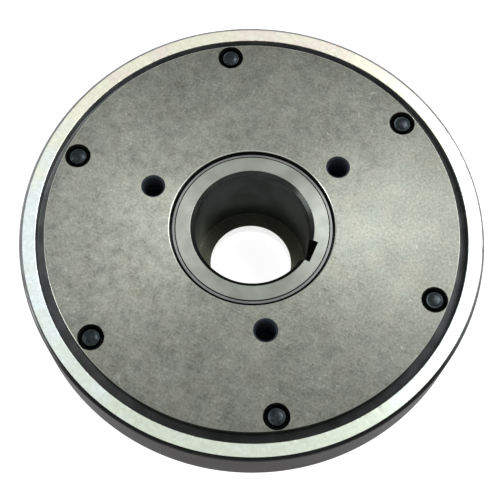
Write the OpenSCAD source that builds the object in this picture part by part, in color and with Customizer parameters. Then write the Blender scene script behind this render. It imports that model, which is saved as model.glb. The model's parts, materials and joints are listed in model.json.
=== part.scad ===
// Permanent-magnet flywheel of a small engine, seen with its closed side up.
//
// Z runs along the crankshaft. The open side, where the stator goes, faces down, and the hub's
// nose is at z = 0. The keyway points along +X, and one of the six rim rivets is in line with it.
// Turned pieces are one half section each, given as [radius, height] points and spun round Z.

/* [Rim cup] */
// Outside radius of the plated rim
rim_r = 56.3; // [55.5:0.1:60]
// Thickness of the rim's wall
rim_wall = 4; // [3.5:0.1:4.2]
// Height of the rim
rim_h = 15.5; // [15:0.1:18]
// How far the rim's face lies below the face plate
rim_drop = 1.5; // [0.5:0.1:2]
// Thickness of the web that joins the rim to the hub
web_t = 3.5; // [3:0.1:4]
// Rounding of the rim's outer corners
rim_round = 0.9; // [0.3:0.1:1]

/* [Face plate] */
// Radius of the ground plate
plate_r = 50; // [49:0.1:51]
// Thickness of the ground plate
plate_t = 4; // [3.6:0.1:4.5]
// Radius of the hole that clears the hub
plate_hole_r = 20; // [19.6:0.1:21]
// Width of the broken edges
plate_edge = 0.35; // [0.1:0.05:0.5]

/* [Hub] */
// Height from the nose to the face plate
overall_h = 30; // [29:0.5:34]
// Outside radius of the hub
hub_r = 19.4; // [19.1:0.1:19.5]
// How far the hub's face lies below the face plate
hub_drop = 0.7; // [0.3:0.1:1.2]
// Radius of the flange under the web
flange_r = 31; // [30:0.5:32]
// Thickness of that flange
flange_t = 5; // [4:0.1:5.5]
// Radius of the crankshaft bore
bore_r = 14; // [13:0.1:14.5]
// Width of the chamfer at the bore's mouth
bore_edge = 1.05; // [0.5:0.05:1.2]
// Radius of the hole in the nose for the crankshaft bolt
exit_r = 10.5; // [9:0.1:12]
// Thickness of the nose, from its face to the flat ledge at the bore's lower end
nose_t = 4.2; // [3:0.1:5.5]

/* [Keyway] */
// Width of the key
key_w = 5.5; // [4:0.5:6]
// Distance from the axis to the keyway's floor
key_floor = 16.05; // [15.5:0.05:16.5]

/* [Puller holes] */
// Radius of the circle that the tapped holes lie on
puller_circle = 26.3; // [26:0.1:26.8]
// Radius of the tapped hole, an M6 thread's drill size
puller_r = 2.5; // [2:0.1:2.8]
// Material left below the blind tapped holes
puller_floor = 1; // [0.8:0.1:1.5]

/* [Rim rivets] */
// Radius of the circle that the rim rivets lie on
rivet_circle = 46.73; // [46.5:0.01:46.8]
// Radius of the counterbore round each rivet head
pocket_r = 3.3; // [3.1:0.05:3.3]
// Depth of the counterbore
pocket_d = 2.6; // [2:0.1:2.8]
// Radius of the rivet's shank
shank_r = 1.6; // [1.4:0.05:1.7]
// Radius of the head's raised boss
boss_r = 2.1; // [2:0.05:2.3]

/* [Magnets] */
// Radial thickness of a magnet
magnet_t = 8.5; // [7.5:0.1:8.8]
// Angle between two magnets, filled by a pillar of the frame
pillar_angle = 8; // [7.5:0.5:10]
// Thickness of the frame's end ring
end_ring_t = 1.6; // [1.4:0.1:2]
// Thickness of the thin sleeve inside the magnets
sleeve_t = 0.5; // [0.4:0.1:0.6]

/* [Hidden] */
$fn = 96;
count = 6;                          // rim rivets, hub rivets and magnets
pullers = 3;
step = 360 / count;
gap = 0.05;                         // clearance between pieces that fit together
hub_rivet_circle = 25.6;
hub_rivet_r = 1.95;
hub_rivet_head_r = 3.35;
hub_rivet_head_h = 1.4;
closed_head_h = 1.4;                // rivet heads formed on the open side
closed_head_r = 3;
magnet_gap = 0.5;                   // angle left between a magnet and a pillar
edge = 0.15;                        // sharp corners broken by a file

plate_z = overall_h - plate_t;      // underside of the face plate
web_z = plate_z - web_t;            // underside of the web
rim_top = overall_h - rim_drop;
rim_z = rim_top - rim_h;            // the rim's open edge
rim_in = rim_r - rim_wall;
hub_top = overall_h - hub_drop;
flange_z = web_z - flange_t;
pocket_z = overall_h - pocket_d;
frame_out = rim_in - 0.1;
frame_in = frame_out - magnet_t;
frame_z = rim_z + closed_head_h + 0.2;
sleeve_r = frame_in - 0.1;
lip_t = 0.8;                        // the frame's lip under the sleeve

// Points on an arc about [r, z] from angle a to angle b, for rounded corners in a half section
function arc(r, z, radius, a, b, steps = 6) =
    [for (i = [0:steps]) [r, z] + radius * [cos(a + (b - a) * i / steps), sin(a + (b - a) * i / steps)]];

// A half section spun round Z
module turned(section) {
    rotate_extrude() polygon(section);
}

// A half section carried round Z over part of a turn, centred on the angle given
module turned_part(section, centre, sweep) {
    rotate([0, 0, centre - sweep / 2]) rotate_extrude(angle = sweep) polygon(section);
}

// Copies of the children on a circle
module around(radius, copies, first = 0) {
    for (i = [0:copies - 1])
        rotate([0, 0, first + i * 360 / copies]) translate([radius, 0, 0]) children();
}

// A straight hole with its mouth broken by a small chamfer, opening upwards at height top
module chamfered_hole(r, bottom, top, chamfer) {
    translate([0, 0, bottom]) cylinder(r = r, h = top - bottom + 1);
    translate([0, 0, top - chamfer]) cylinder(r1 = r, r2 = r + 2 * chamfer, h = 2 * chamfer);
}

// The blind tapped holes, drilled through the plate and the web and into the hub's flange
module puller_holes(chamfer) {
    drill_bottom = flange_z + puller_floor + puller_r / 2;
    around(puller_circle, pullers, step) {
        chamfered_hole(puller_r, drill_bottom, overall_h, chamfer);
        translate([0, 0, drill_bottom - puller_r / 2]) cylinder(r1 = 0, r2 = puller_r, h = puller_r / 2);
    }
}

// A closed rivet head: a low round button that hangs below the height given
module closed_head(radius, height, top) {
    translate([0, 0, top - height])
        turned(concat([[0, height], [radius, height]],
            [for (a = [0:10:90]) [radius * cos(a), height * 0.6 * (1 - sin(a))]]));
}

// Steel cup: the plated rim, and the web that carries it, open downwards round the magnets
module rim_cup() {
    section = concat(
        [[hub_r + gap, web_z], [rim_in, web_z], [rim_in, rim_z + edge], [rim_in + edge, rim_z]],
        arc(rim_r - rim_round, rim_z + rim_round, rim_round, -90, 0),
        arc(rim_r - rim_round, rim_top - rim_round, rim_round, 0, 90),
        [[rim_in + edge, rim_top], [rim_in, rim_top - edge], [rim_in, plate_z], [hub_r + gap, plate_z]]
    );
    color("gainsboro") difference() {
        turned(section);
        around(rivet_circle, count) translate([0, 0, web_z - 1]) cylinder(r = shank_r + gap, h = web_t + 2);
        around(hub_rivet_circle, count, step / 2) {
            translate([0, 0, web_z - 1]) cylinder(r = hub_rivet_r + gap, h = web_t + 2);
            translate([0, 0, plate_z - hub_rivet_head_h])
                cylinder(r1 = hub_rivet_r + gap, r2 = hub_rivet_head_r + gap, h = hub_rivet_head_h);
        }
        puller_holes(edge);
    }
}

// Ground steel plate on the closed side, with a pocket for each rim rivet
module face_plate() {
    section = [
        [plate_hole_r, plate_z], [plate_r - edge, plate_z], [plate_r, plate_z + edge],
        [plate_r, overall_h - plate_edge], [plate_r - plate_edge, overall_h],
        [plate_hole_r + plate_edge, overall_h], [plate_hole_r, overall_h - plate_edge]
    ];
    color("darkgray") difference() {
        turned(section);
        around(rivet_circle, count) {
            chamfered_hole(pocket_r, pocket_z, overall_h, edge);
            translate([0, 0, plate_z - 1]) cylinder(r = shank_r + gap, h = plate_t);
        }
        puller_holes(2 * edge);
    }
}

// Turned hub: the bore for the crankshaft, the nose that its bolt pulls on, and the flange
module hub() {
    nose_edge = 0.8;
    flange_edge = 0.5;
    lip_z = hub_top - 0.15;         // the lip outside the groove in the hub's face
    groove_out = 18.8;
    groove_in = 18.55;
    groove_z = hub_top - 0.6;
    section = [
        [exit_r, 2 * edge], [exit_r + 2 * edge, 0], [hub_r - nose_edge, 0], [hub_r, nose_edge],
        [hub_r, flange_z - nose_edge], [hub_r + nose_edge, flange_z],
        [flange_r - flange_edge, flange_z], [flange_r, flange_z + flange_edge],
        [flange_r, web_z], [hub_r, web_z], [hub_r, lip_z - edge], [hub_r - edge, lip_z],
        [groove_out, lip_z], [groove_out, groove_z], [groove_in, groove_z], [groove_in, hub_top],
        [bore_r + bore_edge, hub_top], [bore_r, hub_top - bore_edge], [bore_r, nose_t], [exit_r, nose_t]
    ];
    color("silver") difference() {
        turned(section);
        translate([0, -key_w / 2, nose_t]) cube([key_floor, key_w, hub_top]);
        around(hub_rivet_circle, count, step / 2)
            translate([0, 0, flange_z - 1]) cylinder(r = hub_rivet_r + gap, h = flange_t + 2);
        puller_holes(edge);
    }
}

// Die-cast frame: an end ring under the magnets and a pillar between each two
module magnet_frame() {
    lip_r = sleeve_r - sleeve_t;
    section = [
        [lip_r, frame_z + edge], [lip_r + edge, frame_z], [frame_out - edge, frame_z],
        [frame_out, frame_z + edge], [frame_out, web_z], [frame_in, web_z],
        [frame_in, frame_z + lip_t], [lip_r, frame_z + lip_t]
    ];
    window = [
        [frame_in - 1, frame_z + end_ring_t], [frame_out + 1, frame_z + end_ring_t],
        [frame_out + 1, web_z + 1], [frame_in - 1, web_z + 1]
    ];
    color("slategray") difference() {
        turned(section);
        for (i = [0:count - 1]) turned_part(window, (i + 0.5) * step, step - pillar_angle);
        around(rivet_circle, count) translate([0, 0, frame_z - 1]) cylinder(r = shank_r + gap, h = overall_h);
    }
}

// Thin stainless sleeve that keeps the magnets from the stator
module retaining_sleeve() {
    low = frame_z + lip_t;
    color("lightgray") turned([
        [sleeve_r - sleeve_t, low], [sleeve_r, low], [sleeve_r, web_z], [sleeve_r - sleeve_t, web_z]
    ]);
}

// Rivet through the plate, the web and a pillar, with a raised, crowned boss on its head
module rim_rivet(i) {
    collar_r = closed_head_r;
    collar_h = 0.7;
    crown_z = overall_h - 0.35;     // rim of the crown, just below the plate's face
    crown_h = 0.25;
    crown_r = boss_r - 0.45;
    head = concat(
        [[0, pocket_z], [collar_r, pocket_z], [collar_r, pocket_z + collar_h - edge],
         [collar_r - edge, pocket_z + collar_h], [boss_r, pocket_z + collar_h + edge]],
        arc(boss_r - edge, crown_z - edge, edge, 0, 90, 3),
        [[boss_r - 0.3, crown_z], [crown_r, crown_z - 0.08]],
        [for (a = [75:-15:0]) [crown_r * sin(a), crown_z - 0.08 + crown_h * cos(a)]]
    );
    color("#22262e") rotate([0, 0, (i - 1) * step]) translate([rivet_circle, 0, 0]) {
        turned(head);
        translate([0, 0, frame_z - gap]) cylinder(r = shank_r, h = pocket_z - frame_z + 2 * gap);
        closed_head(closed_head_r, closed_head_h, frame_z);
    }
}

// Rivet through the web and the hub's flange, its countersunk head hidden under the plate
module hub_rivet(i) {
    color("dimgray") rotate([0, 0, (i - 0.5) * step]) translate([hub_rivet_circle, 0, 0]) {
        translate([0, 0, plate_z - hub_rivet_head_h])
            cylinder(r1 = hub_rivet_r, r2 = hub_rivet_head_r, h = hub_rivet_head_h);
        translate([0, 0, flange_z - gap])
            cylinder(r = hub_rivet_r, h = plate_z - hub_rivet_head_h - flange_z + 2 * gap);
        closed_head(hub_rivet_head_r, closed_head_h, flange_z);
    }
}

// Ferrite segment that fills the space between two pillars
module magnet(i) {
    low = frame_z + end_ring_t;
    section = [
        [frame_in, low + edge], [frame_in + edge, low], [frame_out - edge, low], [frame_out, low + edge],
        [frame_out, web_z - gap], [frame_in, web_z - gap]
    ];
    color("#3b3b3d") turned_part(section, (i - 0.5) * step, step - pillar_angle - 2 * magnet_gap);
}

rim_cup();
face_plate();
hub();
magnet_frame();
retaining_sleeve();
for (i = [1:count]) rim_rivet(i);
for (i = [1:count]) hub_rivet(i);
for (i = [1:count]) magnet(i);
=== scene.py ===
# %% [markdown]
# # The flywheel of a small engine
#
# A flywheel like this one is a steel cup that carries magnets round a stator. It is turned,
# plated, ground and riveted, so nearly every surface on it is a surface of revolution with a
# finish left by one machine. The lesson makes each piece as a profile carried round an axis,
# drills it, and gives it the finish that its machine leaves.
#
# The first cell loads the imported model, which fixes where every piece is.

# %% Load the frame
import json
import math

import bpy
import numpy as np
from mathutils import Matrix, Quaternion, Vector


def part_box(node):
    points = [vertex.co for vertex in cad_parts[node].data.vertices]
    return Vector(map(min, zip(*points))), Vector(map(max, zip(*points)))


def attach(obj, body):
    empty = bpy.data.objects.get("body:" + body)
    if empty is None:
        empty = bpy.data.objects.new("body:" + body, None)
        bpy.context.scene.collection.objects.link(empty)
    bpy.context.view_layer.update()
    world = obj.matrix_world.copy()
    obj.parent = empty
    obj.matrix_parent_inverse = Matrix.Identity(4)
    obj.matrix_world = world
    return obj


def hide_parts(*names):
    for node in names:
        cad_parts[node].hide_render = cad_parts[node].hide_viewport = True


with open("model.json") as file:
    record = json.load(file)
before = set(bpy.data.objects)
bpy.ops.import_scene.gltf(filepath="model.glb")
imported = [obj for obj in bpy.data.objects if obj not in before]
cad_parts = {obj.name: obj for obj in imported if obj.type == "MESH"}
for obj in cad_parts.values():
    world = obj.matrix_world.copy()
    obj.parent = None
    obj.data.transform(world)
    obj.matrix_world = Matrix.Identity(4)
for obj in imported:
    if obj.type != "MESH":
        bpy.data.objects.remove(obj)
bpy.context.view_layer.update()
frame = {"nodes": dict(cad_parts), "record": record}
nodes = frame["nodes"]

# %% [markdown]
# Lengths are worked out in millimetres, as on the workshop drawing, and turned to metres only
# when a mesh is made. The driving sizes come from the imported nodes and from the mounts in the
# record, so the visible pieces can't drift away from the solids.

# %% Sizes in millimetres
MM = 0.001
mounts = {mount["name"]: mount for mount in frame["record"]["mounts"]}


def reach(node):
    """The outer radius and the lowest and highest z of a node that is centred on the axis."""
    low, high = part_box(node)
    return high.x / MM, low.z / MM, high.z / MM


rim_r, rim_z, rim_top = reach("rim_cup")
plate_r, plate_z, plate_top = reach("face_plate")
flange_r, _, hub_top = reach("hub")
_, frame_z, web_z = reach("magnet_frame")
bore_r = mounts["crank_bore"]["dims"]["r_mm"]
exit_r = mounts["nose_hole"]["dims"]["r_mm"]
puller_r = mounts["puller_holes"]["dims"]["hole_r_mm"]
puller_circle = mounts["puller_holes"]["dims"]["pcd_mm"] / 2
rivet_low, rivet_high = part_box("rim_rivet_1")
rivet_circle = (rivet_low.x + rivet_high.x) / 2 / MM


def inner(node, above=-1.0):
    """The least distance from the axis of a node's points that are higher than the height given."""
    points = np.zeros(len(nodes[node].data.vertices) * 3)
    nodes[node].data.vertices.foreach_get("co", points)
    points = points.reshape(-1, 3) / MM
    return np.hypot(points[:, 0], points[:, 1])[points[:, 2] > above].min()


rim_in = inner("rim_cup", plate_z + 1)
plate_hole_r = inner("face_plate")
hub_r = inner("rim_cup") - 0.05
print("rim", rim_r, rim_z, rim_top, "plate", plate_r, plate_top, "rivets on", round(rivet_circle, 2))
print("inside the rim", round(rim_in, 2), "plate's hole", round(plate_hole_r, 2), "hub", round(hub_r, 2))

# %% [markdown]
# ## Profiles
#
# No machined corner is perfectly sharp. Each profile is a closed list of corners, and each
# corner carries its own radius. The corner is replaced by an arc that is tangent to both of its
# sides. A corner could also be rounded with the Bevel modifier, but an arc worked out in the
# profile keeps the true radius in millimetres wherever it is looked at.

# %% Rounded profiles


def rounded(corners, steps=5, support=0.12):
    """A closed profile with every corner rounded.

    corners holds (radius, height, fillet). With unit vectors a and b from a corner to its two
    neighbours and the angle p between them, the arc's ends lie fillet / tan(p / 2) along each
    side, and its centre lies fillet / sin(p / 2) along the bisector. A support point just past
    each arc keeps the smooth shading of the arc off the flat beside it.
    """
    points = np.array([corner[:2] for corner in corners], float)
    fillets = np.array([corner[2] for corner in corners], float)
    back = np.roll(points, 1, 0) - points
    ahead = np.roll(points, -1, 0) - points
    a = back / np.linalg.norm(back, axis=1)[:, None]
    b = ahead / np.linalg.norm(ahead, axis=1)[:, None]
    half = np.arccos(np.clip((a * b).sum(1), -1, 1)) / 2
    reach_out = fillets / np.tan(half)
    bisector = (a + b) / np.linalg.norm(a + b, axis=1)[:, None]
    centre = points + bisector * (fillets / np.sin(half))[:, None]
    start, end = points + a * reach_out[:, None], points + b * reach_out[:, None]
    turn = math.pi - 2 * half
    share = np.linspace(0, 1, steps + 1)[None, :, None]
    blend_start = np.sin((1 - share) * turn[:, None, None]) / np.sin(turn)[:, None, None]
    blend_end = np.sin(share * turn[:, None, None]) / np.sin(turn)[:, None, None]
    arcs = centre[:, None] + blend_start * (start - centre)[:, None] + blend_end * (end - centre)[:, None]
    before = start + a * support
    after = end + b * support
    return np.concatenate([before[:, None], arcs, after[:, None]], 1).reshape(-1, 2)


def refined(profile, longest):
    """The closed profile with evenly spaced points added, so that no stretch is over the longest."""
    ahead = np.roll(profile, -1, 0)
    pieces = np.maximum(1, np.ceil(np.linalg.norm(ahead - profile, axis=1) / longest)).astype(int)
    return np.concatenate([
        start + (end - start) * (np.arange(n) / n)[:, None]
        for start, end, n in zip(profile, ahead, pieces)
    ])


# %% [markdown]
# ## Spinning a profile
#
# A lathe makes a surface whose every point is a point of the profile turned by some angle, so
# the whole surface is one grid of angle by profile point. Spin or the Screw modifier would do
# the same. The grid is used because its columns can be pushed about afterwards, which is how
# the knocks on the rim's edges are made.

# %% Spun surfaces


def spun_grid(profile, segments):
    """Points of the surface as an array of angle by profile point by (x, y, z), in millimetres.

    x is the profile's radius times the cosine of the angle, y is the radius times the sine, and
    z is the profile's height.
    """
    angle = np.arange(segments) * (2 * math.pi / segments)
    around = np.stack([np.cos(angle), np.sin(angle)], 1)
    flat = around[:, None] * profile[None, :, :1]
    height = np.broadcast_to(profile[None, :, 1:], (segments, len(profile), 1))
    return np.concatenate([flat, height], 2)


def ring_faces(segments, count):
    """Four corner numbers for each face of a grid that closes on itself both ways."""
    i, j = np.meshgrid(np.arange(segments), np.arange(count), indexing="ij")
    next_i, next_j = (i + 1) % segments, (j + 1) % count
    return np.stack([i * count + j, next_i * count + j, next_i * count + next_j, i * count + next_j], -1)


def mesh_piece(name, vertices, faces, sharp=35):
    """A new object at the origin, from points in millimetres, smooth except at sharp angles."""
    mesh = bpy.data.meshes.new(name)
    mesh.from_pydata((vertices * MM).tolist(), [], faces)
    mesh.validate()
    mesh.shade_smooth()
    mesh.set_sharp_from_angle(angle=math.radians(sharp))
    piece = bpy.data.objects.new(name, mesh)
    bpy.context.scene.collection.objects.link(piece)
    return piece


def spun_ring(name, profile, segments=256):
    """A closed ring: a closed profile carried once round the axis."""
    grid = spun_grid(profile, segments)
    return mesh_piece(name, grid.reshape(-1, 3), ring_faces(segments, len(profile)).reshape(-1, 4).tolist())


def spun_plug(profile, segments=48):
    """Points and faces of a solid that meets the axis: the profile's two ends lie on it.

    Each end is one point, joined to the nearest ring by a fan of triangles.
    """
    rings = profile[1:-1]
    count = len(rings)
    grid = spun_grid(rings, segments).reshape(-1, 3)
    i = np.arange(segments)
    ahead = (i + 1) % segments
    low_pole, high_pole = len(grid), len(grid) + 1
    faces = ring_faces(segments, count)[:, :-1].reshape(-1, 4).tolist()
    faces += np.stack([np.full(segments, low_pole), ahead * count, i * count], 1).tolist()
    top, next_top = i * count + count - 1, ahead * count + count - 1
    faces += np.stack([top, next_top, np.full(segments, high_pole)], 1).tolist()
    poles = np.array([[0, 0, profile[0][1]], [0, 0, profile[-1][1]]])
    return np.concatenate([grid, poles]), faces


def placed(points, radius, turn):
    """Points moved out along X by the radius and then turned about the axis by degrees."""
    c, s = math.cos(math.radians(turn)), math.sin(math.radians(turn))
    x, y = points[:, 0] + radius, points[:, 1]
    return np.stack([c * x - s * y, s * x + c * y, points[:, 2]], 1)


# %% [markdown]
# Holes that aren't on the axis are drilled: a spun plug with the drill's own profile is taken
# away from the piece with a Boolean modifier, and the result becomes the piece's mesh.

# %% Drilling


def drilled(piece, cutters):
    """Takes the cutters, each a (points, faces) solid in millimetres, out of the piece."""
    points, faces, base = [], [], 0
    for cutter_points, cutter_faces in cutters:
        points.append(cutter_points)
        faces += [[base + corner for corner in face] for face in cutter_faces]
        base += len(cutter_points)
    tool = mesh_piece("drill", np.concatenate(points), faces)
    cut = piece.modifiers.new("drilled", "BOOLEAN")
    cut.operation, cut.solver, cut.object = "DIFFERENCE", "EXACT", tool
    bpy.context.view_layer.update()
    done = bpy.data.meshes.new_from_object(piece.evaluated_get(bpy.context.evaluated_depsgraph_get()))
    piece.modifiers.remove(cut)
    piece.data = done
    done.name = piece.name
    bpy.data.objects.remove(tool)
    done.shade_smooth()
    done.set_sharp_from_angle(angle=math.radians(35))
    print(piece.name, len(done.polygons), "faces after drilling")
    return piece


# %% [markdown]
# ## Finishes
#
# Colours are written as the sRGB hex values a paint chart would give, and one function turns
# them to linear light. One more function adds a shader node with its settings and its links.

# %% Colour and node helpers


def linear(code):
    """sRGB hex to linear RGBA.

    Each channel c becomes c / 12.92 up to 0.04045, and ((c + 0.055) / 1.055) ** 2.4 above it.
    """
    channels = [int(code[i:i + 2], 16) / 255 for i in (1, 3, 5)]
    return [c / 12.92 if c <= 0.04045 else ((c + 0.055) / 1.055) ** 2.4 for c in channels] + [1.0]


def add(tree, kind, inputs=None, **settings):
    """Adds a node, applies its settings, and gives each input a value or a link."""
    node = tree.nodes.new(kind)
    for name, value in settings.items():
        setattr(node, name, value)
    for name, value in (inputs or {}).items():
        if isinstance(value, bpy.types.NodeSocket):
            tree.links.new(value, node.inputs[name])
        else:
            node.inputs[name].default_value = value
    return node


def blank_material(name):
    """A node material with only its output node, and the tree to build in."""
    material = bpy.data.materials.new(name)
    material.use_nodes = True
    tree = material.node_tree
    tree.nodes.clear()
    return material, tree


def lathe_coordinates(tree, along, across):
    """Coordinates that follow a lathe tool: slow round the axis and quick along the profile.

    With r the distance from the axis, the first two are x / r and y / r times along, and the
    third is (r + z) times across. On a flat face only r changes and on a wall only z does, so
    one pattern gives rings on the face and rings on the wall.
    """
    place = add(tree, "ShaderNodeTexCoord").outputs["Object"]
    flat = add(tree, "ShaderNodeVectorMath", {0: place, 1: (1, 1, 0)}, operation="MULTIPLY").outputs[0]
    radius = add(tree, "ShaderNodeVectorMath", {0: flat}, operation="LENGTH").outputs["Value"]
    unit = add(tree, "ShaderNodeVectorMath", {0: flat}, operation="NORMALIZE").outputs[0]
    ring = add(tree, "ShaderNodeVectorMath", {0: unit, "Scale": along}, operation="SCALE").outputs[0]
    height = add(tree, "ShaderNodeSeparateXYZ", {0: place}).outputs["Z"]
    run = add(tree, "ShaderNodeMath", {0: radius, 1: height}, operation="ADD").outputs[0]
    run = add(tree, "ShaderNodeMath", {0: run, 1: across}, operation="MULTIPLY").outputs[0]
    lift = add(tree, "ShaderNodeCombineXYZ", {"Z": run}).outputs[0]
    return add(tree, "ShaderNodeVectorMath", {0: ring, 1: lift}, operation="ADD").outputs[0]


def finish_material(material, tree, colour, roughness, height, depth, metallic=1.0, turned=0.0):
    """Ends a material: a Principled surface with a bump of the given depth in metres.

    Where turned is above 0, the gloss is stretched across the rings that a lathe tool leaves. The
    rings run along the axis crossed with the way out from it, and the stretch runs along the
    surface's normal crossed with the rings.
    """
    bump = add(tree, "ShaderNodeBump", {"Height": height, "Strength": 1.0, "Distance": depth})
    surface = add(tree, "ShaderNodeBsdfPrincipled", {
        "Base Color": colour, "Metallic": metallic, "Roughness": roughness, "Normal": bump.outputs[0],
    })
    if turned:
        place = add(tree, "ShaderNodeTexCoord").outputs["Object"]
        ring = add(tree, "ShaderNodeVectorMath", {0: (0, 0, 1), 1: place}, operation="CROSS_PRODUCT")
        normal = add(tree, "ShaderNodeNewGeometry").outputs["Normal"]
        across = add(tree, "ShaderNodeVectorMath", {
            0: normal, 1: ring.outputs[0]}, operation="CROSS_PRODUCT")
        stretch = add(tree, "ShaderNodeVectorMath", {0: across.outputs[0]}, operation="NORMALIZE")
        surface.inputs["Anisotropic"].default_value = turned
        tree.links.new(stretch.outputs[0], surface.inputs["Tangent"])
    add(tree, "ShaderNodeOutputMaterial", {"Surface": surface.outputs[0]})
    return material


# %% [markdown]
# ### Bright zinc plating
#
# The rim's face is turned steel with electroplated zinc and a clear passivate. The plating is
# nearly white and softly glossy. The passivate is a film about as thick as a wavelength of
# light, and it drained to one side while the part hung from the bath, so its tint drifts from
# green to pink across the part. Under it the rings that the lathe tool left still show, and small
# knocks, most of them close to the edges, have gone through it to darker steel.

# %% Zinc plating


def zinc_plating():
    """The film's colour runs from green through blue-white and yellow to pink as it gets thicker.

    The thickness t is 0.5 + the place's share along the way it ran off / 2 + a slow noise.
    """
    material, tree = blank_material("zinc_plating")
    place = add(tree, "ShaderNodeTexCoord").outputs["Object"]
    along = add(tree, "ShaderNodeVectorMath", {
        0: place, 1: (-0.37, 0.93, 0.0)}, operation="DOT_PRODUCT").outputs["Value"]
    slope = add(tree, "ShaderNodeMapRange", {
        "Value": along, "From Min": -rim_r * MM, "From Max": rim_r * MM}).outputs[0]
    drift = add(tree, "ShaderNodeTexNoise", {
        "Vector": place, "Scale": 1 / (9 * MM), "Detail": 3.0}).outputs[0]
    drift = add(tree, "ShaderNodeMapRange", {
        "Value": drift, "From Min": 0.3, "From Max": 0.7, "To Min": -0.16, "To Max": 0.16}).outputs[0]
    film_t = add(tree, "ShaderNodeMath", {0: slope, 1: drift}, operation="ADD").outputs[0]
    film = linear("#D9E1D2")
    for start, end, tint in ((0.10, 0.35, "#E8F1F2"), (0.50, 0.75, "#F0F0DC"), (0.88, 1.05, "#F0E3DA")):
        share = add(tree, "ShaderNodeMapRange", {
            "Value": film_t, "From Min": start, "From Max": end}).outputs[0]
        film = add(tree, "ShaderNodeMix", {
            0: share, "A": film, "B": linear(tint)}, data_type="RGBA").outputs["Result"]
    grain = add(tree, "ShaderNodeTexNoise", {
        "Vector": place, "Scale": 1 / (0.9 * MM), "Detail": 4.0, "Roughness": 0.7}).outputs[0]
    rings = add(tree, "ShaderNodeTexNoise", {
        "Vector": lathe_coordinates(tree, 3.0, 1 / (0.25 * MM)), "Scale": 1.0, "Detail": 3.0,
        "Roughness": 0.6})
    shade = add(tree, "ShaderNodeMapRange", {
        "Value": grain, "From Min": 0.3, "From Max": 0.7, "To Min": 0.90, "To Max": 1.04}).outputs[0]
    film = add(tree, "ShaderNodeVectorMath", {0: film, "Scale": shade}, operation="SCALE").outputs[0]
    flat = add(tree, "ShaderNodeVectorMath", {0: place, 1: (1, 1, 0)}, operation="MULTIPLY").outputs[0]
    radius = add(tree, "ShaderNodeVectorMath", {0: flat}, operation="LENGTH").outputs["Value"]
    middle = (rim_in + rim_r) / 2 * MM
    off = add(tree, "ShaderNodeMath", {0: radius, 1: middle}, operation="SUBTRACT").outputs[0]
    off = add(tree, "ShaderNodeMath", {0: off}, operation="ABSOLUTE").outputs[0]
    edge = add(tree, "ShaderNodeMapRange", {
        "Value": off, "From Min": 1.3 * MM, "From Max": 2.0 * MM, "To Min": 0.0, "To Max": 0.10}).outputs[0]
    knocks = add(tree, "ShaderNodeTexNoise", {
        "Vector": place, "Scale": 1 / (1.5 * MM), "Detail": 5.0, "Roughness": 0.75}).outputs[0]
    knocks = add(tree, "ShaderNodeMath", {0: knocks, 1: edge}, operation="ADD").outputs[0]
    knock = add(tree, "ShaderNodeMapRange", {
        "Value": knocks, "From Min": 0.68, "From Max": 0.75, "To Min": 0.0, "To Max": 0.8}).outputs[0]
    colour = add(tree, "ShaderNodeMix", {0: knock, "A": film, "B": linear("#4E4C46")}, data_type="RGBA")
    roughness = add(tree, "ShaderNodeMapRange", {"Value": grain, "To Min": 0.26, "To Max": 0.46})
    height = add(tree, "ShaderNodeMath", {0: rings.outputs[0], 1: grain}, operation="ADD")
    height = add(tree, "ShaderNodeMath", {0: height.outputs[0], 1: knock}, operation="SUBTRACT")
    return finish_material(
        material, tree, colour.outputs["Result"], roughness.outputs[0], height.outputs[0], 0.012 * MM,
        turned=0.4)


zinc = zinc_plating()
print(zinc.name, "has", len(zinc.node_tree.nodes), "nodes")

# %% [markdown]
# ### The rim's wall
#
# The outside of the rim is a turned wall with only a thin, dull flash of plating in its tool
# marks. It is a brown-grey steel with fine rings, darker than the face, and painted darker still, with
# its glancing reflection cut: painted shade in its reflection.

# %% Turned wall


def turned_wall():
    """A slow stain mixes two steels; the lathe's rings set the roughness and the bump."""
    material, tree = blank_material("turned_wall_steel")
    place = add(tree, "ShaderNodeTexCoord").outputs["Object"]
    rings = add(tree, "ShaderNodeTexNoise", {
        "Vector": lathe_coordinates(tree, 2.0, 1 / (0.35 * MM)), "Scale": 1.0, "Detail": 4.0,
        "Roughness": 0.6})
    stain = add(tree, "ShaderNodeTexNoise", {"Vector": place, "Scale": 1 / (9 * MM), "Detail": 4.0})
    shade = add(tree, "ShaderNodeMapRange", {"Value": stain.outputs[0], "From Min": 0.35, "From Max": 0.65})
    colour = add(tree, "ShaderNodeMix", {
        0: shade.outputs[0], "A": linear("#323130"), "B": linear("#3D3C3B")}, data_type="RGBA")
    roughness = add(tree, "ShaderNodeMapRange", {"Value": rings.outputs[0], "To Min": 0.28, "To Max": 0.52})
    finish_material(
        material, tree, colour.outputs["Result"], roughness.outputs[0], rings.outputs[0], 0.015 * MM)
    # painted shade: the wall keeps only about half of the light met at a low angle
    tree.nodes["Principled BSDF"].inputs["Specular Tint"].default_value = (0.5, 0.49, 0.5, 1.0)
    return material


wall_steel = turned_wall()
print(wall_steel.name, "has", len(wall_steel.node_tree.nodes), "nodes")

# %% [markdown]
# ### Ground steel
#
# The plate was ground flat and then handled, so its grey is broken into soft clouds of olive and
# green-grey a few millimetres across, a finer mottle, and a grain at about the size of the grit.
# Over that lie hairline scratches in three directions, light flecks where the metal is burnished
# and a few dark pits.

# %% Ground plate steel


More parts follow.
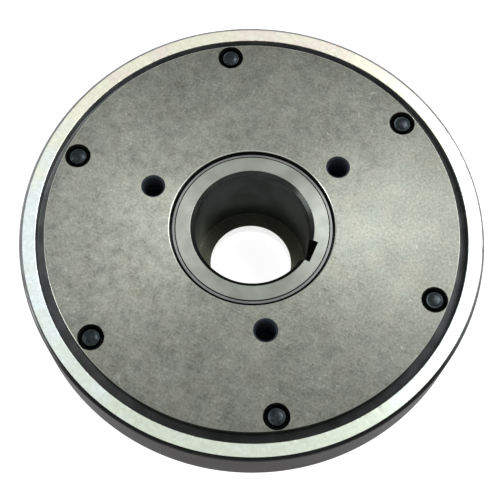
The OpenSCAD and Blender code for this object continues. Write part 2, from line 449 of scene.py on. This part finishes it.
def ground_steel():
    """Brightness is 1 plus a share of each of three noises, less one half: clouds, mottle and grain.

    It is then painted brighter toward the hub and darker toward its edge: multiplied by 1.22 at
    the hub, falling to 0.84 at its edge. The distance is taken from the origin, which lies 30 mm under the
    plate's middle.
    """
    material, tree = blank_material("ground_plate_steel")
    place = add(tree, "ShaderNodeTexCoord").outputs["Object"]
    warm = add(tree, "ShaderNodeTexNoise", {
        "Vector": place, "Scale": 1 / (6 * MM), "Detail": 4.0}).outputs[0]
    pick = add(tree, "ShaderNodeMapRange", {"Value": warm, "From Min": 0.36, "From Max": 0.64}).outputs[0]
    tone = add(tree, "ShaderNodeMix", {
        0: pick, "A": linear("#89897F"), "B": linear("#84877F")}, data_type="RGBA").outputs["Result"]
    shade = 1.0
    layers = []
    for size, share, seed in ((9.0, 0.55, 1.0), (2.2, 0.9, 2.0), (0.6, 1.3, 3.0)):
        layer = add(tree, "ShaderNodeTexNoise", {
            "Vector": place, "W": seed, "Scale": 1 / (size * MM), "Detail": 3.0, "Roughness": 0.6},
            noise_dimensions="4D").outputs[0]
        layers.append(layer)
        part = add(tree, "ShaderNodeMath", {0: layer, 1: 0.5}, operation="SUBTRACT").outputs[0]
        shade = add(tree, "ShaderNodeMath", {
            0: part, 1: share, 2: shade}, operation="MULTIPLY_ADD").outputs[0]
    _, mottle, grain = layers
    radius = add(tree, "ShaderNodeVectorMath", {0: place}, operation="LENGTH").outputs["Value"]
    # brighter toward the hub, darker toward the edge
    hub_to_edge = add(tree, "ShaderNodeMapRange", {
        "Value": radius, "From Min": 36 * MM, "From Max": 58 * MM, "To Min": 1.22,
        "To Max": 0.84}).outputs[0]
    shade = add(tree, "ShaderNodeMath", {0: shade, 1: hub_to_edge}, operation="MULTIPLY").outputs[0]
    shaded = add(tree, "ShaderNodeVectorMath", {0: tone, "Scale": shade}, operation="SCALE").outputs[0]
    marks = None
    for turn, length, width, seed in ((20, 12, 0.16, 1.0), (75, 5, 0.2, 2.0), (128, 4, 0.16, 3.0)):
        along = add(tree, "ShaderNodeMapping", {
            "Vector": place, "Rotation": (0, 0, math.radians(turn)),
            "Scale": (1 / (length * MM), 1 / (width * MM), 1.0)})
        hair = add(tree, "ShaderNodeTexNoise", {
            "Vector": along.outputs[0], "W": seed, "Scale": 1.0, "Detail": 2.0}, noise_dimensions="4D")
        line = add(tree, "ShaderNodeMapRange", {
            "Value": hair.outputs[0], "From Min": 0.66, "From Max": 0.74, "To Min": 0.0,
            "To Max": 1.0}).outputs[0]
        if marks is not None:
            line = add(tree, "ShaderNodeMath", {0: marks, 1: line}, operation="MAXIMUM").outputs[0]
        marks = line
    fleck = add(tree, "ShaderNodeTexNoise", {
        "Vector": place, "W": 7.0, "Scale": 1 / (1.1 * MM), "Detail": 3.0, "Roughness": 0.6},
        noise_dimensions="4D")
    light = add(tree, "ShaderNodeMapRange", {
        "Value": fleck.outputs[0], "From Min": 0.62, "From Max": 0.72}).outputs[0]
    light = add(tree, "ShaderNodeMath", {0: marks, 1: light}, operation="MAXIMUM").outputs[0]
    faint = add(tree, "ShaderNodeMath", {0: light, 1: 0.42}, operation="MULTIPLY").outputs[0]
    lit = add(tree, "ShaderNodeMix", {
        0: faint, "A": shaded, "B": linear("#B4B8AE")}, data_type="RGBA").outputs["Result"]
    pit = add(tree, "ShaderNodeMapRange", {
        "Value": fleck.outputs[0], "From Min": 0.27, "From Max": 0.22, "To Min": 0.0,
        "To Max": 0.7}).outputs[0]
    colour = add(tree, "ShaderNodeMix", {
        0: pit, "A": lit, "B": linear("#3E403A")}, data_type="RGBA").outputs["Result"]
    roughness = add(tree, "ShaderNodeMapRange", {
        "Value": mottle, "From Min": 0.3, "From Max": 0.7, "To Min": 0.37, "To Max": 0.53}).outputs[0]
    height = add(tree, "ShaderNodeMath", {0: grain, 1: light}, operation="SUBTRACT").outputs[0]
    height = add(tree, "ShaderNodeMath", {0: height, 1: pit}, operation="SUBTRACT").outputs[0]
    return finish_material(material, tree, colour, roughness, height, 0.012 * MM, turned=0.7)


plate_steel = ground_steel()
print(plate_steel.name, "has", len(plate_steel.node_tree.nodes), "nodes")

# %% [markdown]
# ### Plain metal, cast, rolled or sintered
#
# Several pieces have no tool marks that show, only a grain and a cloudiness several times as
# wide. One function makes them all, given the grain's size.

# %% Grained surfaces


def worn_metal(name, light, dark, grain, depth, low, high, metallic=1.0):
    """Plain metal or ceramic with a grain of the given size in millimetres."""
    material, tree = blank_material(name)
    place = add(tree, "ShaderNodeTexCoord").outputs["Object"]
    cells = add(tree, "ShaderNodeTexNoise", {
        "Vector": place, "Scale": 1 / (grain * MM), "Detail": 5.0, "Roughness": 0.6})
    cloud = add(tree, "ShaderNodeTexNoise", {"Vector": place, "Scale": 1 / (8 * grain * MM), "Detail": 3.0})
    both = add(tree, "ShaderNodeMath", {0: cells.outputs[0], 1: cloud.outputs[0]}, operation="ADD")
    shade = add(tree, "ShaderNodeMapRange", {"Value": both.outputs[0], "From Min": 0.7, "From Max": 1.3})
    colour = add(tree, "ShaderNodeMix", {
        0: shade.outputs[0], "A": linear(dark), "B": linear(light)}, data_type="RGBA")
    roughness = add(tree, "ShaderNodeMapRange", {"Value": cells.outputs[0], "To Min": low, "To Max": high})
    return finish_material(
        material, tree, colour.outputs["Result"], roughness.outputs[0], cells.outputs[0], depth * MM,
        metallic)


# %% [markdown]
# ### Turned and bored steel
#
# The hub is left as the lathe finished it, with close rings on its faces. The same turned steel
# is painted darker in the bore, its mouth, the gaps and the plate's walls, as painted shade; it is
# dull in the groove beside the plate, whose wall is painted lighter as painted light; and it is
# painted brightest on the edges, as a painted highlight, and on the nose hole's wall, as painted
# light. The threads are painted near black, as painted shade, and hold no shine.
#
# Three of the finishes are darkened toward one side of the part. That side is a choice made for
# the look: the darkening is painted shade, and the groove's floor gets painted light on its other
# side. It stays on the part under any light.

# %% Hub steel


def painted_side_shade(material, way, start, end, lit_scale, shade_scale):
    """Paints light and shade across the part: the colour is scaled from one side to the other.

    With d the distance in millimetres along way, the colour is multiplied by the lit scale where d is
    start, by the shade scale where d is end, and in proportion between them.
    """
    tree = material.node_tree
    place = add(tree, "ShaderNodeTexCoord").outputs["Object"]
    side = add(tree, "ShaderNodeVectorMath", {0: place, 1: way}, operation="DOT_PRODUCT").outputs["Value"]
    share = add(tree, "ShaderNodeMapRange", {
        "Value": side, "From Min": start * MM, "From Max": end * MM, "To Min": lit_scale,
        "To Max": shade_scale}).outputs[0]
    base = tree.nodes["Principled BSDF"].inputs["Base Color"]
    shaded_colour = add(tree, "ShaderNodeVectorMath", {
        0: base.links[0].from_socket, "Scale": share}, operation="SCALE")
    tree.links.new(shaded_colour.outputs[0], base)


def hub_steel(name, light, dark, low, high, glancing=1.0):
    """Turned steel; glancing is how much of the light met at a low angle is kept; below 1 it is painted
    shade.
    """
    material, tree = blank_material(name)
    place = add(tree, "ShaderNodeTexCoord").outputs["Object"]
    rings = add(tree, "ShaderNodeTexNoise", {
        "Vector": lathe_coordinates(tree, 2.5, 1 / (0.2 * MM)), "Scale": 1.0, "Detail": 3.0,
        "Roughness": 0.6})
    cloud = add(tree, "ShaderNodeTexNoise", {"Vector": place, "Scale": 1 / (5 * MM), "Detail": 5.0})
    shade = add(tree, "ShaderNodeMapRange", {"Value": cloud.outputs[0], "From Min": 0.35, "From Max": 0.65})
    colour = add(tree, "ShaderNodeMix", {
        0: shade.outputs[0], "A": linear(dark), "B": linear(light)}, data_type="RGBA")
    roughness = add(tree, "ShaderNodeMapRange", {"Value": rings.outputs[0], "To Min": low, "To Max": high})
    finish_material(
        material, tree, colour.outputs["Result"], roughness.outputs[0], rings.outputs[0], 0.006 * MM,
        turned=0.6)
    tree.nodes["Principled BSDF"].inputs["Specular Tint"].default_value = (glancing, glancing, glancing, 1.0)
    return material


face_steel = hub_steel("turned_hub_steel", "#A2A59F", "#90938C", 0.30, 0.46)
lip_steel = hub_steel("turned_lip_steel", "#8A8B8A", "#777877", 0.34, 0.50)
# dark colours and a cut glancing reflection: painted shade inside the bore and on its mouth
bore_shade_steel = hub_steel("oiled_bore_steel", "#303432", "#232624", 0.22, 0.40, glancing=0.6)
ledge_steel = hub_steel("ledge_steel", "#7E7F6E", "#6A6B5E", 0.14, 0.28)
# lighter than the groove's floor: painted light in the shaded groove and on the web's top
groove_wall_steel = hub_steel("groove_wall_steel", "#8A8C8E", "#6E7072", 0.45, 0.65)
groove_floor_steel = hub_steel("groove_floor_steel", "#747677", "#5C5E5F", 0.45, 0.60)
# near white: a painted highlight on the plate's edges
edge_highlight_steel = hub_steel("burnished_edge", "#D6D8D0", "#C4C6BE", 0.25, 0.40)
mouth_steel = hub_steel("bore_mouth_steel", "#3C3F3D", "#2D302E", 0.22, 0.36, glancing=0.7)
# near white: painted light on the nose hole's wall, as bright as the floor seen through it
nose_light_steel = hub_steel("faced_nose_steel", "#FAFAF8", "#F3F4F2", 0.25, 0.40)
# painted shade on the rim's rounded edge, darkest toward one side
edge_steel = hub_steel("worn_edge_steel", "#9C9C9E", "#848486", 0.16, 0.30, glancing=0.8)
# dark: painted shade in the gaps and on the plate's walls
gap_shade_steel = hub_steel("oily_gap_steel", "#4A4B47", "#353632", 0.35, 0.55)
# the side of the part that the painted shade falls on
shade_side = (0.36, -0.93, 0)
# painted light and shade on the groove's floor; painted shade on the rim's edge and the plate's edges
painted_side_shade(groove_floor_steel, (0.78, -0.63, 0), start=-50, end=50, lit_scale=1.5, shade_scale=0.3)
painted_side_shade(edge_steel, shade_side, start=-10, end=36, lit_scale=1.0, shade_scale=0.06)
painted_side_shade(edge_highlight_steel, shade_side, start=0, end=45, lit_scale=1.0, shade_scale=0.35)
# near black and without shine: painted shade in the puller holes
greased_thread = worn_metal("greased_thread", "#2A3138", "#1E242A", 0.4, 0.01, 0.6, 0.8, metallic=0.0)
greased_thread.node_tree.nodes["Principled BSDF"].inputs["Specular IOR Level"].default_value = 0.15
print(len(bpy.data.materials), "materials so far")

# %% [markdown]
# ### Black oxide
#
# The rim rivets are hot-blacked: the steel itself is turned to magnetite, a thin blue-black
# layer that keeps the metal's gloss. The hidden pieces get plainer metals: hammered steel for the
# hub's rivets, cast aluminium for the magnets' frame, cold-rolled stainless steel for the sleeve
# and sintered ferrite for the magnets.

# %% Rivets


def black_oxide():
    """One noise, a little under a millimetre across, sets the oxide's shade, gloss and bump."""
    material, tree = blank_material("black_oxide_steel")
    place = add(tree, "ShaderNodeTexCoord").outputs["Object"]
    wear = add(tree, "ShaderNodeTexNoise", {"Vector": place, "Scale": 1 / (0.7 * MM), "Detail": 4.0})
    shade = add(tree, "ShaderNodeMapRange", {"Value": wear.outputs[0], "From Min": 0.3, "From Max": 0.7})
    colour = add(tree, "ShaderNodeMix", {
        0: shade.outputs[0], "A": linear("#23272A"), "B": linear("#383D40")}, data_type="RGBA")
    roughness = add(tree, "ShaderNodeMapRange", {"Value": wear.outputs[0], "To Min": 0.2, "To Max": 0.4})
    return finish_material(
        material, tree, colour.outputs["Result"], roughness.outputs[0], wear.outputs[0], 0.02 * MM)


blacked = black_oxide()
rivet_steel = worn_metal("hammered_rivet_steel", "#8E8D88", "#6B6964", 0.8, 0.05, 0.3, 0.5)
cast_aluminium = worn_metal("cast_aluminium", "#B4B5B5", "#8F9192", 0.5, 0.06, 0.45, 0.65)
stainless = worn_metal("cold_rolled_stainless", "#C4C4C1", "#ADADA9", 0.3, 0.006, 0.22, 0.36)
ferrite = worn_metal("sintered_ferrite", "#3A3A3C", "#262628", 0.25, 0.03, 0.5, 0.75, metallic=0.0)
print(len(bpy.data.materials), "materials with the rivets' and the hidden pieces'")

# %% [markdown]
# ## The rim cup
#
# One steel cup makes the rim and the web. Its profile is spun, and then the rim's two top edges
# are knocked about, because a plated edge that has been dropped on a bench is never a clean
# line.

# %% Knocks along an edge


def knocked(grid, edge_r, edge_z, knocks, depth, width, seed):
    """Pushes points near a circular edge towards the inside of the metal.

    A point at distance d from the edge and at angle a moves by the sum over the knocks of
    depth * exp(-(arc / width) ** 2) * exp(-(d / width) ** 2), where arc is the length along the
    edge from the point to the knock. It moves down and away from the edge's outer side.
    """
    rng = np.random.default_rng(seed)
    angle = np.arctan2(grid[..., 1], grid[..., 0])
    radius = np.hypot(grid[..., 0], grid[..., 1])
    distance = np.hypot(radius - edge_r, grid[..., 2] - edge_z)
    where = rng.uniform(-math.pi, math.pi, knocks)
    size = width * rng.uniform(0.5, 1.6, knocks)
    deep = depth * rng.uniform(0.2, 1.0, knocks)
    near = distance < 3 * width
    turn = (angle[near][:, None] - where[None] + math.pi) % (2 * math.pi) - math.pi
    push = deep * np.exp(-(turn * edge_r / size) ** 2) * np.exp(-(distance[near][:, None] / size) ** 2)
    grid[near, 2] -= push.sum(1)
    return grid


# %% [markdown]
# The same drill point, thread and countersink serve the rim's web, the plate and the hub, so
# the cutters are made here once. Each is a plug on the axis, and copies of it are moved out to
# the circle that the holes lie on.

# %% Rim cup
wall_round = 0.9
face_end = rim_r - 0.8
rim_segments = 720
rim_rivets = 6
shank_hole_r = 1.65
puller_count, puller_first = 3, 60
countersink = 0.45
rim_profile = refined(rounded([
    (hub_r + 0.05, web_z, 0.1), (rim_in, web_z, 0.1), (rim_in, rim_z, 0.15), (rim_r, rim_z, 0.6),
    (rim_r, rim_top, wall_round), (rim_in, rim_top, 0.15), (rim_in, plate_z, 0.3),
    (hub_r + 0.05, plate_z, 0.1),
], steps=6), 1.0)
rim_grid = spun_grid(rim_profile, rim_segments)
knocked(rim_grid, rim_r, rim_top, knocks=70, depth=0.15, width=0.4, seed=1)
knocked(rim_grid, rim_in, rim_top, knocks=80, depth=0.12, width=0.25, seed=2)
rim_faces = ring_faces(rim_segments, len(rim_profile)).reshape(-1, 4).tolist()
rim = mesh_piece("rim_shell", rim_grid.reshape(-1, 3), rim_faces)
print("rim profile has", len(rim_profile), "points")


def straight_hole(radius, low, high):
    """A cutter for a plain hole, from its low end to its high end."""
    return spun_plug(np.array([[0, low], [radius, low], [radius, high], [0, high]], float), 64)


def puller_cutter(mouth):
    """A cutter for a blind M6 hole: a drill point, thread grooves and a countersunk mouth.

    The grooves are rings one pitch apart, which look like a thread and are simpler to cut: the
    radius goes from the drill's to the thread's outer radius and back in each pitch.
    """
    bottom, pitch, thread = web_z - 4.0, 1.0, 0.45
    first = math.ceil(bottom + 2.0)
    groove_z = np.arange(first, mouth - 1.2, pitch)
    grooves = np.stack([
        np.stack([np.full(len(groove_z), puller_r), groove_z], 1),
        np.stack([np.full(len(groove_z), puller_r + thread), groove_z + 0.45 * pitch], 1),
        np.stack([np.full(len(groove_z), puller_r), groove_z + 0.9 * pitch], 1)], 1).reshape(-1, 2)
    low = np.array([[0, bottom], [puller_r, bottom + 1.4]])
    mouth_r = puller_r + countersink
    high = np.array([
        [puller_r, mouth - countersink], [mouth_r, mouth], [mouth_r, mouth + 1], [0, mouth + 1]])
    return spun_plug(np.concatenate([low, grooves, high]), 64)


def all_round(cutter, radius, copies, first=0.0):
    """Copies of a cutter on a circle."""
    points, faces = cutter
    return [(placed(points, radius, first + i * 360 / copies), faces) for i in range(copies)]


drilled(rim, all_round(straight_hole(shank_hole_r, web_z - 1, plate_z + 1), rivet_circle, rim_rivets)
        + all_round(puller_cutter(plate_z), puller_circle, puller_count, puller_first))

# %% [markdown]
# Only the face of the rim has the bright plating. The wall is duller and painted darker as
# painted shade, its edge is painted darker toward one side, and the groove beside the plate is
# painted with light and shade. The faces are told apart by where their centres are.

# %% Several finishes on one piece


def face_centres(mesh):
    """The centre of each of a mesh's faces, in millimetres."""
    found = np.zeros(len(mesh.polygons) * 3)
    mesh.polygons.foreach_get("center", found)
    return found.reshape(-1, 3) / MM


def ring_places(mesh):
    """Radius and height of the centre of each of a mesh's faces, in millimetres."""
    found = face_centres(mesh)
    return np.hypot(found[:, 0], found[:, 1]), found[:, 2]


def in_pullers(mesh):
    """True for faces whose centres lie in one of the puller holes or on its mouth."""
    turns = np.radians(puller_first + np.arange(puller_count) * 360 / puller_count)
    axes = puller_circle * np.stack([np.cos(turns), np.sin(turns)], 1)
    flat = face_centres(mesh)[:, :2]
    return (np.linalg.norm(flat[:, None] - axes[None], axis=2) < puller_r + 0.5).any(1)


def give(piece, materials, choice):
    """Gives the piece its materials; choice holds the number of the material for each face."""
    for material in materials:
        piece.data.materials.append(material)
    piece.data.polygons.foreach_set("material_index", choice.astype(np.int32))
    piece.data.update()


radius, height = ring_places(rim.data)
on_face = (height > rim_top - 0.4) & (radius < face_end) & (radius > rim_in - 0.01)
on_edge = (height > rim_top - 0.4) & (radius > face_end)
on_wall = (radius > rim_in + 0.5) | (height < plate_z - 1)
in_thread = in_pullers(rim.data)
on_floor = (radius > flange_r) & (height < plate_z + 0.2)
give(rim, [zinc, wall_steel, groove_wall_steel, edge_steel, greased_thread, groove_floor_steel],
     np.select([in_thread, on_face, on_edge, on_wall, on_floor], [4, 0, 3, 1, 5], 2))
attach(rim, "root")
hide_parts("rim_cup")

# %% [markdown]
# ## The face plate
#
# The plate is a spun disc with six pockets, six rivet holes and three puller holes. The pockets
# run so close to its edge that only a thin web of metal is left there.

# %% Face plate
pocket_r = 3.15
pocket_z = plate_top - 2.6


def pocket_cutter():
    """A cutter for a rivet pocket and the rivet's hole below it, the mouth broken by a chamfer."""
    edge = 0.06
    return spun_plug(np.array([
        [0, plate_z - 1], [shank_hole_r, plate_z - 1], [shank_hole_r, pocket_z], [pocket_r, pocket_z],
        [pocket_r, plate_top - edge], [pocket_r + edge, plate_top], [pocket_r + edge, plate_top + 1],
        [0, plate_top + 1]], float), 96)


plate_profile = refined(rounded([
    (plate_hole_r, plate_z, 0.1), (plate_r, plate_z, 0.15), (plate_r, plate_top, 0.2),
    (plate_hole_r, plate_top, 0.3),
], steps=5), 4.0)
plate = spun_ring("ground_plate", plate_profile, 512)
drilled(plate, all_round(pocket_cutter(), rivet_circle, rim_rivets)
        + all_round(puller_cutter(plate_top), puller_circle, puller_count, puller_first))
radius, height = ring_places(plate.data)
in_thread = in_pullers(plate.data) & (height < plate_top - 0.01)
# the plate's rounded edges, which get the painted highlight
at_corner = (radius < plate_hole_r + 0.3) | (radius > plate_r - 0.2)
on_edge = at_corner & (abs(height - plate_top + 0.15) < 0.14)
# the plate's side wall, hole walls and underside take the gap steel's painted shade
give(plate, [plate_steel, gap_shade_steel, edge_highlight_steel, greased_thread],
     np.select([in_thread, on_edge, height > plate_top - 0.31], [3, 2, 0], 1))
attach(plate, "root")
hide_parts("face_plate")

# %% [markdown]
# ## The hub
#
# The hub's profile has the nose, the ledge that the crankshaft's end stops against, the bore,
# and a fine groove in its face. The keyway is a straight slot with a flat floor, cut along the
# bore.

# %% Hub
flange_z = web_z - 5
bore_low = 4.2
bore_edge = 1.05
key_floor, key_half = 16.05, 2.75
hub_rivet_r, hub_rivet_circle = 2.0, 25.6
groove_out, groove_in = 18.8, 18.55
lip_z, groove_low = hub_top - 0.15, hub_top - 0.6
hub_corners = [
    (exit_r, 0, 0.25), (hub_r, 0, 0.8), (hub_r, flange_z, 0.8), (flange_r, flange_z, 0.4),
    (flange_r, web_z, 0.15), (hub_r, web_z, 0.1), (hub_r, lip_z, 0.12),
    (groove_out, lip_z, 0.04), (groove_out, groove_low, 0.03), (groove_in, groove_low, 0.03),
    (groove_in, hub_top, 0.06), (bore_r + bore_edge, hub_top, 0.12),
    (bore_r, hub_top - bore_edge, 0.12), (bore_r, bore_low, 0.02), (exit_r, bore_low, 0.05),
]
hub_profile = refined(rounded(hub_corners, steps=4, support=0.03), 2.0)
hub = spun_ring("turned_hub", hub_profile, 384)


def keyway_cutter():
    """A straight bar along the bore, as wide as the key and reaching to the keyway's floor."""
    x, y, z = np.meshgrid(
        [bore_r - 3, key_floor], [-key_half, key_half], [bore_low, hub_top + 1], indexing="ij")
    points = np.stack([x.ravel(), y.ravel(), z.ravel()], 1)
    faces = [[0, 1, 3, 2], [4, 6, 7, 5], [0, 4, 5, 1], [2, 3, 7, 6], [0, 2, 6, 4], [1, 5, 7, 3]]
    return points, faces


drilled(hub, [keyway_cutter()]
        + all_round(straight_hole(hub_rivet_r, flange_z - 1, web_z + 1), hub_rivet_circle, 6, 30)
        + all_round(puller_cutter(web_z), puller_circle, puller_count, puller_first))
radius, height = ring_places(hub.data)
below_face = height < hub_top - 0.05
in_bore = (radius < key_floor + 0.15) & below_face & (height > bore_low)
on_ledge = (radius < bore_r + 0.1) & (abs(height - bore_low) < 0.02)
in_nose = (radius < exit_r + 0.3) & (height < bore_low)
on_mouth = (abs(radius - bore_r - 0.55) < 0.5) & below_face & (height > hub_top - bore_edge)
on_lip = (radius > groove_out) & (height > lip_z - 0.14)
in_gap = (radius > groove_in - 0.01) & (height > web_z)
in_thread = in_pullers(hub.data)
# the bore, its mouth, the gap and the threads take painted shade; the nose hole's wall takes painted light
give(hub, [face_steel, bore_shade_steel, ledge_steel, lip_steel,
           gap_shade_steel, greased_thread, nose_light_steel, mouth_steel],
     np.select([in_thread, on_ledge, in_nose, on_mouth, in_bore, on_lip, in_gap], [5, 2, 6, 7, 1, 3, 4], 0))
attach(hub, "root")
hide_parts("hub")

# %% [markdown]
# ## The rim rivets
#
# Each head stands in its pocket nearly flush with the plate: a collar that clamps the plate, and
# a raised boss whose top is a shallow crown inside a rim.

# %% Rim rivets
crown_z = plate_top - 0.35
head_r, shank_r, boss_r, crown_r = 3.0, 1.6, 2.1, 1.62


def rivet_profile():
    """Half section of a rim rivet, from the middle of its closed head up to the crown.

    The closed head and the crown are arcs: height follows the sine and radius the cosine.
    """
    turn = np.radians(np.arange(90, -1, -10))
    closed = np.stack([head_r * np.cos(turn), frame_z - 0.56 - 0.84 * np.sin(turn)], 1)
    crown_turn = np.radians(np.arange(14, 91, 8))
    crown = np.stack([crown_r * np.cos(crown_turn), crown_z - 0.12 + 0.36 * np.sin(crown_turn)], 1)
    body = np.array([
        [head_r, frame_z - 0.04], [head_r - 0.04, frame_z], [shank_r, frame_z], [shank_r, pocket_z],
        [head_r - 0.1, pocket_z], [head_r, pocket_z + 0.1], [head_r, pocket_z + 0.55],
        [head_r - 0.15, pocket_z + 0.7], [boss_r + 0.15, pocket_z + 0.75], [boss_r, pocket_z + 0.9],
        [boss_r, crown_z - 0.2], [boss_r - 0.05, crown_z - 0.07], [boss_r - 0.16, crown_z],
        [boss_r - 0.3, crown_z], [boss_r - 0.42, crown_z - 0.07]])
    return np.concatenate([closed, body, crown])


for number in range(1, 7):
    points, faces = spun_plug(rivet_profile(), 64)
    points = placed(points, rivet_circle, (number - 1) * 60)
    rivet = mesh_piece(f"blacked_rivet_{number}", points, faces, sharp=50)
    rivet.data.materials.append(blacked)
    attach(rivet, "root")
    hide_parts(f"rim_rivet_{number}")
print(rim_rivets, "rim rivets, each of", len(rivet.data.polygons), "faces")

# %% [markdown]
# ## Pieces kept from the frame
#
# The magnets, their frame, the sleeve and the hub's rivets already have the right shape, so they
# only get their finishes.

# %% Finishes on the frame's own pieces


def paint(node, material):
    """Gives a CAD node one material."""
    nodes[node].data.materials.clear()
    nodes[node].data.materials.append(material)


paint("magnet_frame", cast_aluminium)
paint("retaining_sleeve", stainless)
for number in range(1, 7):
    paint(f"hub_rivet_{number}", rivet_steel)
    paint(f"magnet_{number}", ferrite)
print("painted the frame, the sleeve, 6 hub rivets and 6 magnets")

# %% [markdown]
# ## Camera, light and floor
#
# The camera stands about a quarter of a metre from the plate, 21 degrees off its axis, and is
# rolled a little, as a hand-held camera is. Everything is placed from the way it looks: right
# and away are the horizontal directions as the camera sees them.

# %% Camera
AZIMUTH = math.radians(21.20)
TILT = math.radians(20.93)
ROLL = math.radians(2.22)
DISTANCE = 0.2690
NEARER = 0.0062
ASIDE = -0.00035
right = Vector((math.cos(AZIMUTH), math.sin(AZIMUTH), 0))
away = Vector((-math.sin(AZIMUTH), math.cos(AZIMUTH), 0))
up = Vector((0, 0, 1))
target = up * plate_top * MM - away * NEARER + right * ASIDE
camera_data = bpy.data.cameras.new("camera")
camera_data.lens = 81.14
camera = bpy.data.objects.new("camera", camera_data)
bpy.context.scene.collection.objects.link(camera)
camera.location = target + (up * math.cos(TILT) - away * math.sin(TILT)) * DISTANCE
camera.rotation_mode = "QUATERNION"
level = (target - camera.location).to_track_quat("-Z", "Y")
camera.rotation_quaternion = level @ Quaternion((0, 0, 1), ROLL)
bpy.context.scene.camera = camera
print("camera at", [round(1000 * place) for place in camera.location], "mm")

# %% [markdown]
# The floor is an opal acrylic light table: a pale sheet lit evenly from below, which product
# studios use to lose the shadow round a part. It also shows the far end of the bore as a
# bright disc, and sends a little light up into the bore and under the rim.

# %% Light table


def opal_acrylic():
    """A pale sheet that gives off white light of its own, with a faint haze in its colour."""
    material, tree = blank_material("opal_acrylic")
    place = add(tree, "ShaderNodeTexCoord").outputs["Object"]
    haze = add(tree, "ShaderNodeTexNoise", {"Vector": place, "Scale": 8.0, "Detail": 3.0})
    colour = add(tree, "ShaderNodeMix", {
        0: haze.outputs[0], "A": linear("#B4B5B4"), "B": linear("#BCBDBC")}, data_type="RGBA")
    surface = add(tree, "ShaderNodeBsdfPrincipled", {
        "Base Color": colour.outputs["Result"], "Roughness": 0.6,
        "Emission Color": linear("#FFFFFF"), "Emission Strength": 0.86,
    })
    add(tree, "ShaderNodeOutputMaterial", {"Surface": surface.outputs[0]})
    return material


half = 1.5
corners = np.array([[-half, -half, 0], [half, -half, 0], [half, half, 0], [-half, half, 0]])
floor = mesh_piece("floor", corners / MM, [[0, 1, 2, 3]])
floor.data.materials.append(opal_acrylic())
print("light table", 2 * half, "m square")

# %% [markdown]
# Two soft lights, at the right and the left, give the plate its two brighter sectors, as
# anisotropic metal shows them. A low one at the left catches the rivets' crowns. The world is a
# nearly white room.

# %% Lights


def softbox(name, side, forward, height, size, power, colour="#FFFFFF"):
    """A square area light that faces the flywheel; side and forward are metres along right and away."""
    data = bpy.data.lights.new(name, "AREA")
    data.shape, data.size, data.energy = "SQUARE", size, power
    data.color = linear(colour)[:3]
    lamp = bpy.data.objects.new(name, data)
    bpy.context.scene.collection.objects.link(lamp)
    lamp.location = right * side + away * forward + Vector((0, 0, height))
    lamp.rotation_mode = "QUATERNION"
    lamp.rotation_quaternion = (-lamp.location).to_track_quat("-Z", "Y")


softbox("right_side", 0.51, 0.35, 0.8, 0.5, 5.5, "#FBFEFF")
softbox("left_side", -0.8, 0.1, 0.8, 0.4, 0.9)
softbox("low_left", -0.9, -0.18, 0.28, 0.4, 3.0)
world = bpy.data.worlds.new("studio")
bpy.context.scene.world = world
world.use_nodes = True
world.node_tree.nodes["Background"].inputs["Color"].default_value = linear("#F8FAF9")
world.node_tree.nodes["Background"].inputs["Strength"].default_value = 0.85
bpy.context.scene.view_settings.view_transform = "Standard"
print(len(bpy.data.lights), "lights")
